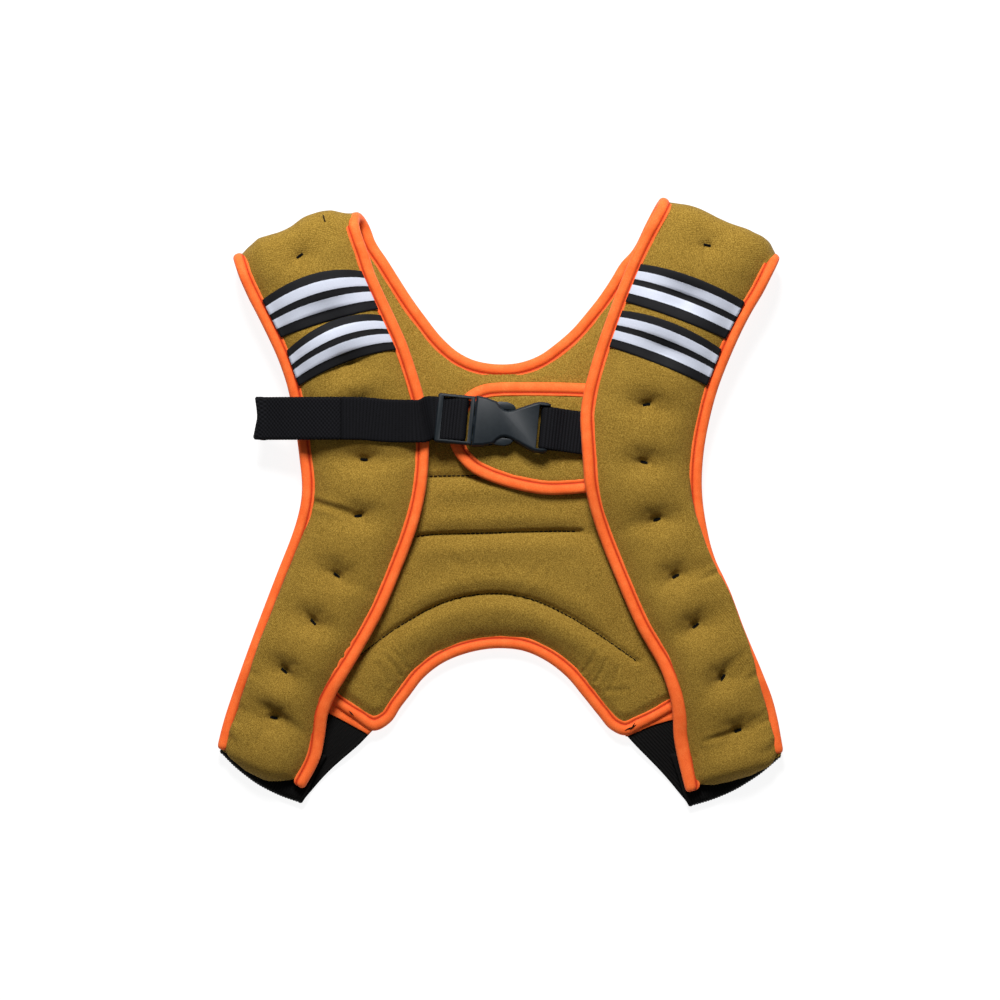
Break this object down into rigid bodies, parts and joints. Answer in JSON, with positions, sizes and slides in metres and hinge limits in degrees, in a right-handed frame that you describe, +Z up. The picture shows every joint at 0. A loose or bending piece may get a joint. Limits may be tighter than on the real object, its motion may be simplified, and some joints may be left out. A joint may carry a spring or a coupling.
{
  "type": "weighted vest",
  "caption": "Filled vest lying on its back, front strips folded over the shoulders, scooped neck, elastic side bands and a side-release buckle on the chest.",
  "frame": {"origin": "on the floor, under the middle of the whole vest's box", "axes": "+X to the right as seen from above, +Y towards the shoulders, +Z up out of the floor"},
  "size_m": [0.3974, 0.4274, 0.0438],
  "materials": {
    "olive_cloth": "knit-faced neoprene, matt",
    "orange_binding": "woven binding, matt",
    "black_elastic": "ribbed elastic, matt",
    "black_webbing": "ribbed webbing, matt",
    "black_plastic": "moulded, slightly glossy",
    "reflective_tape": "black tape with two pale reflective stripes, matt"
  },
  "bodies": {
    "root": {"back_panel": "olive_cloth", "front_panel_left": "olive_cloth", "front_panel_right": "olive_cloth", "buckle_pad": "olive_cloth", "neck_binding": "orange_binding", "arm_binding_left": "orange_binding", "arm_binding_right": "orange_binding", "waist_binding": "orange_binding", "pad_binding": "orange_binding", "band_tape_left": "orange_binding", "band_tape_right": "orange_binding", "side_band_left": "black_elastic", "side_band_right": "black_elastic", "chest_strap_left": "black_webbing", "chest_strap_right": "black_webbing", "reflective_tape_left_upper": "reflective_tape", "reflective_tape_left_lower": "reflective_tape", "reflective_tape_right_upper": "reflective_tape", "reflective_tape_right_lower": "reflective_tape", "buckle_female": "black_plastic", "buckle_male": "black_plastic"}
  },
  "joints": []
}
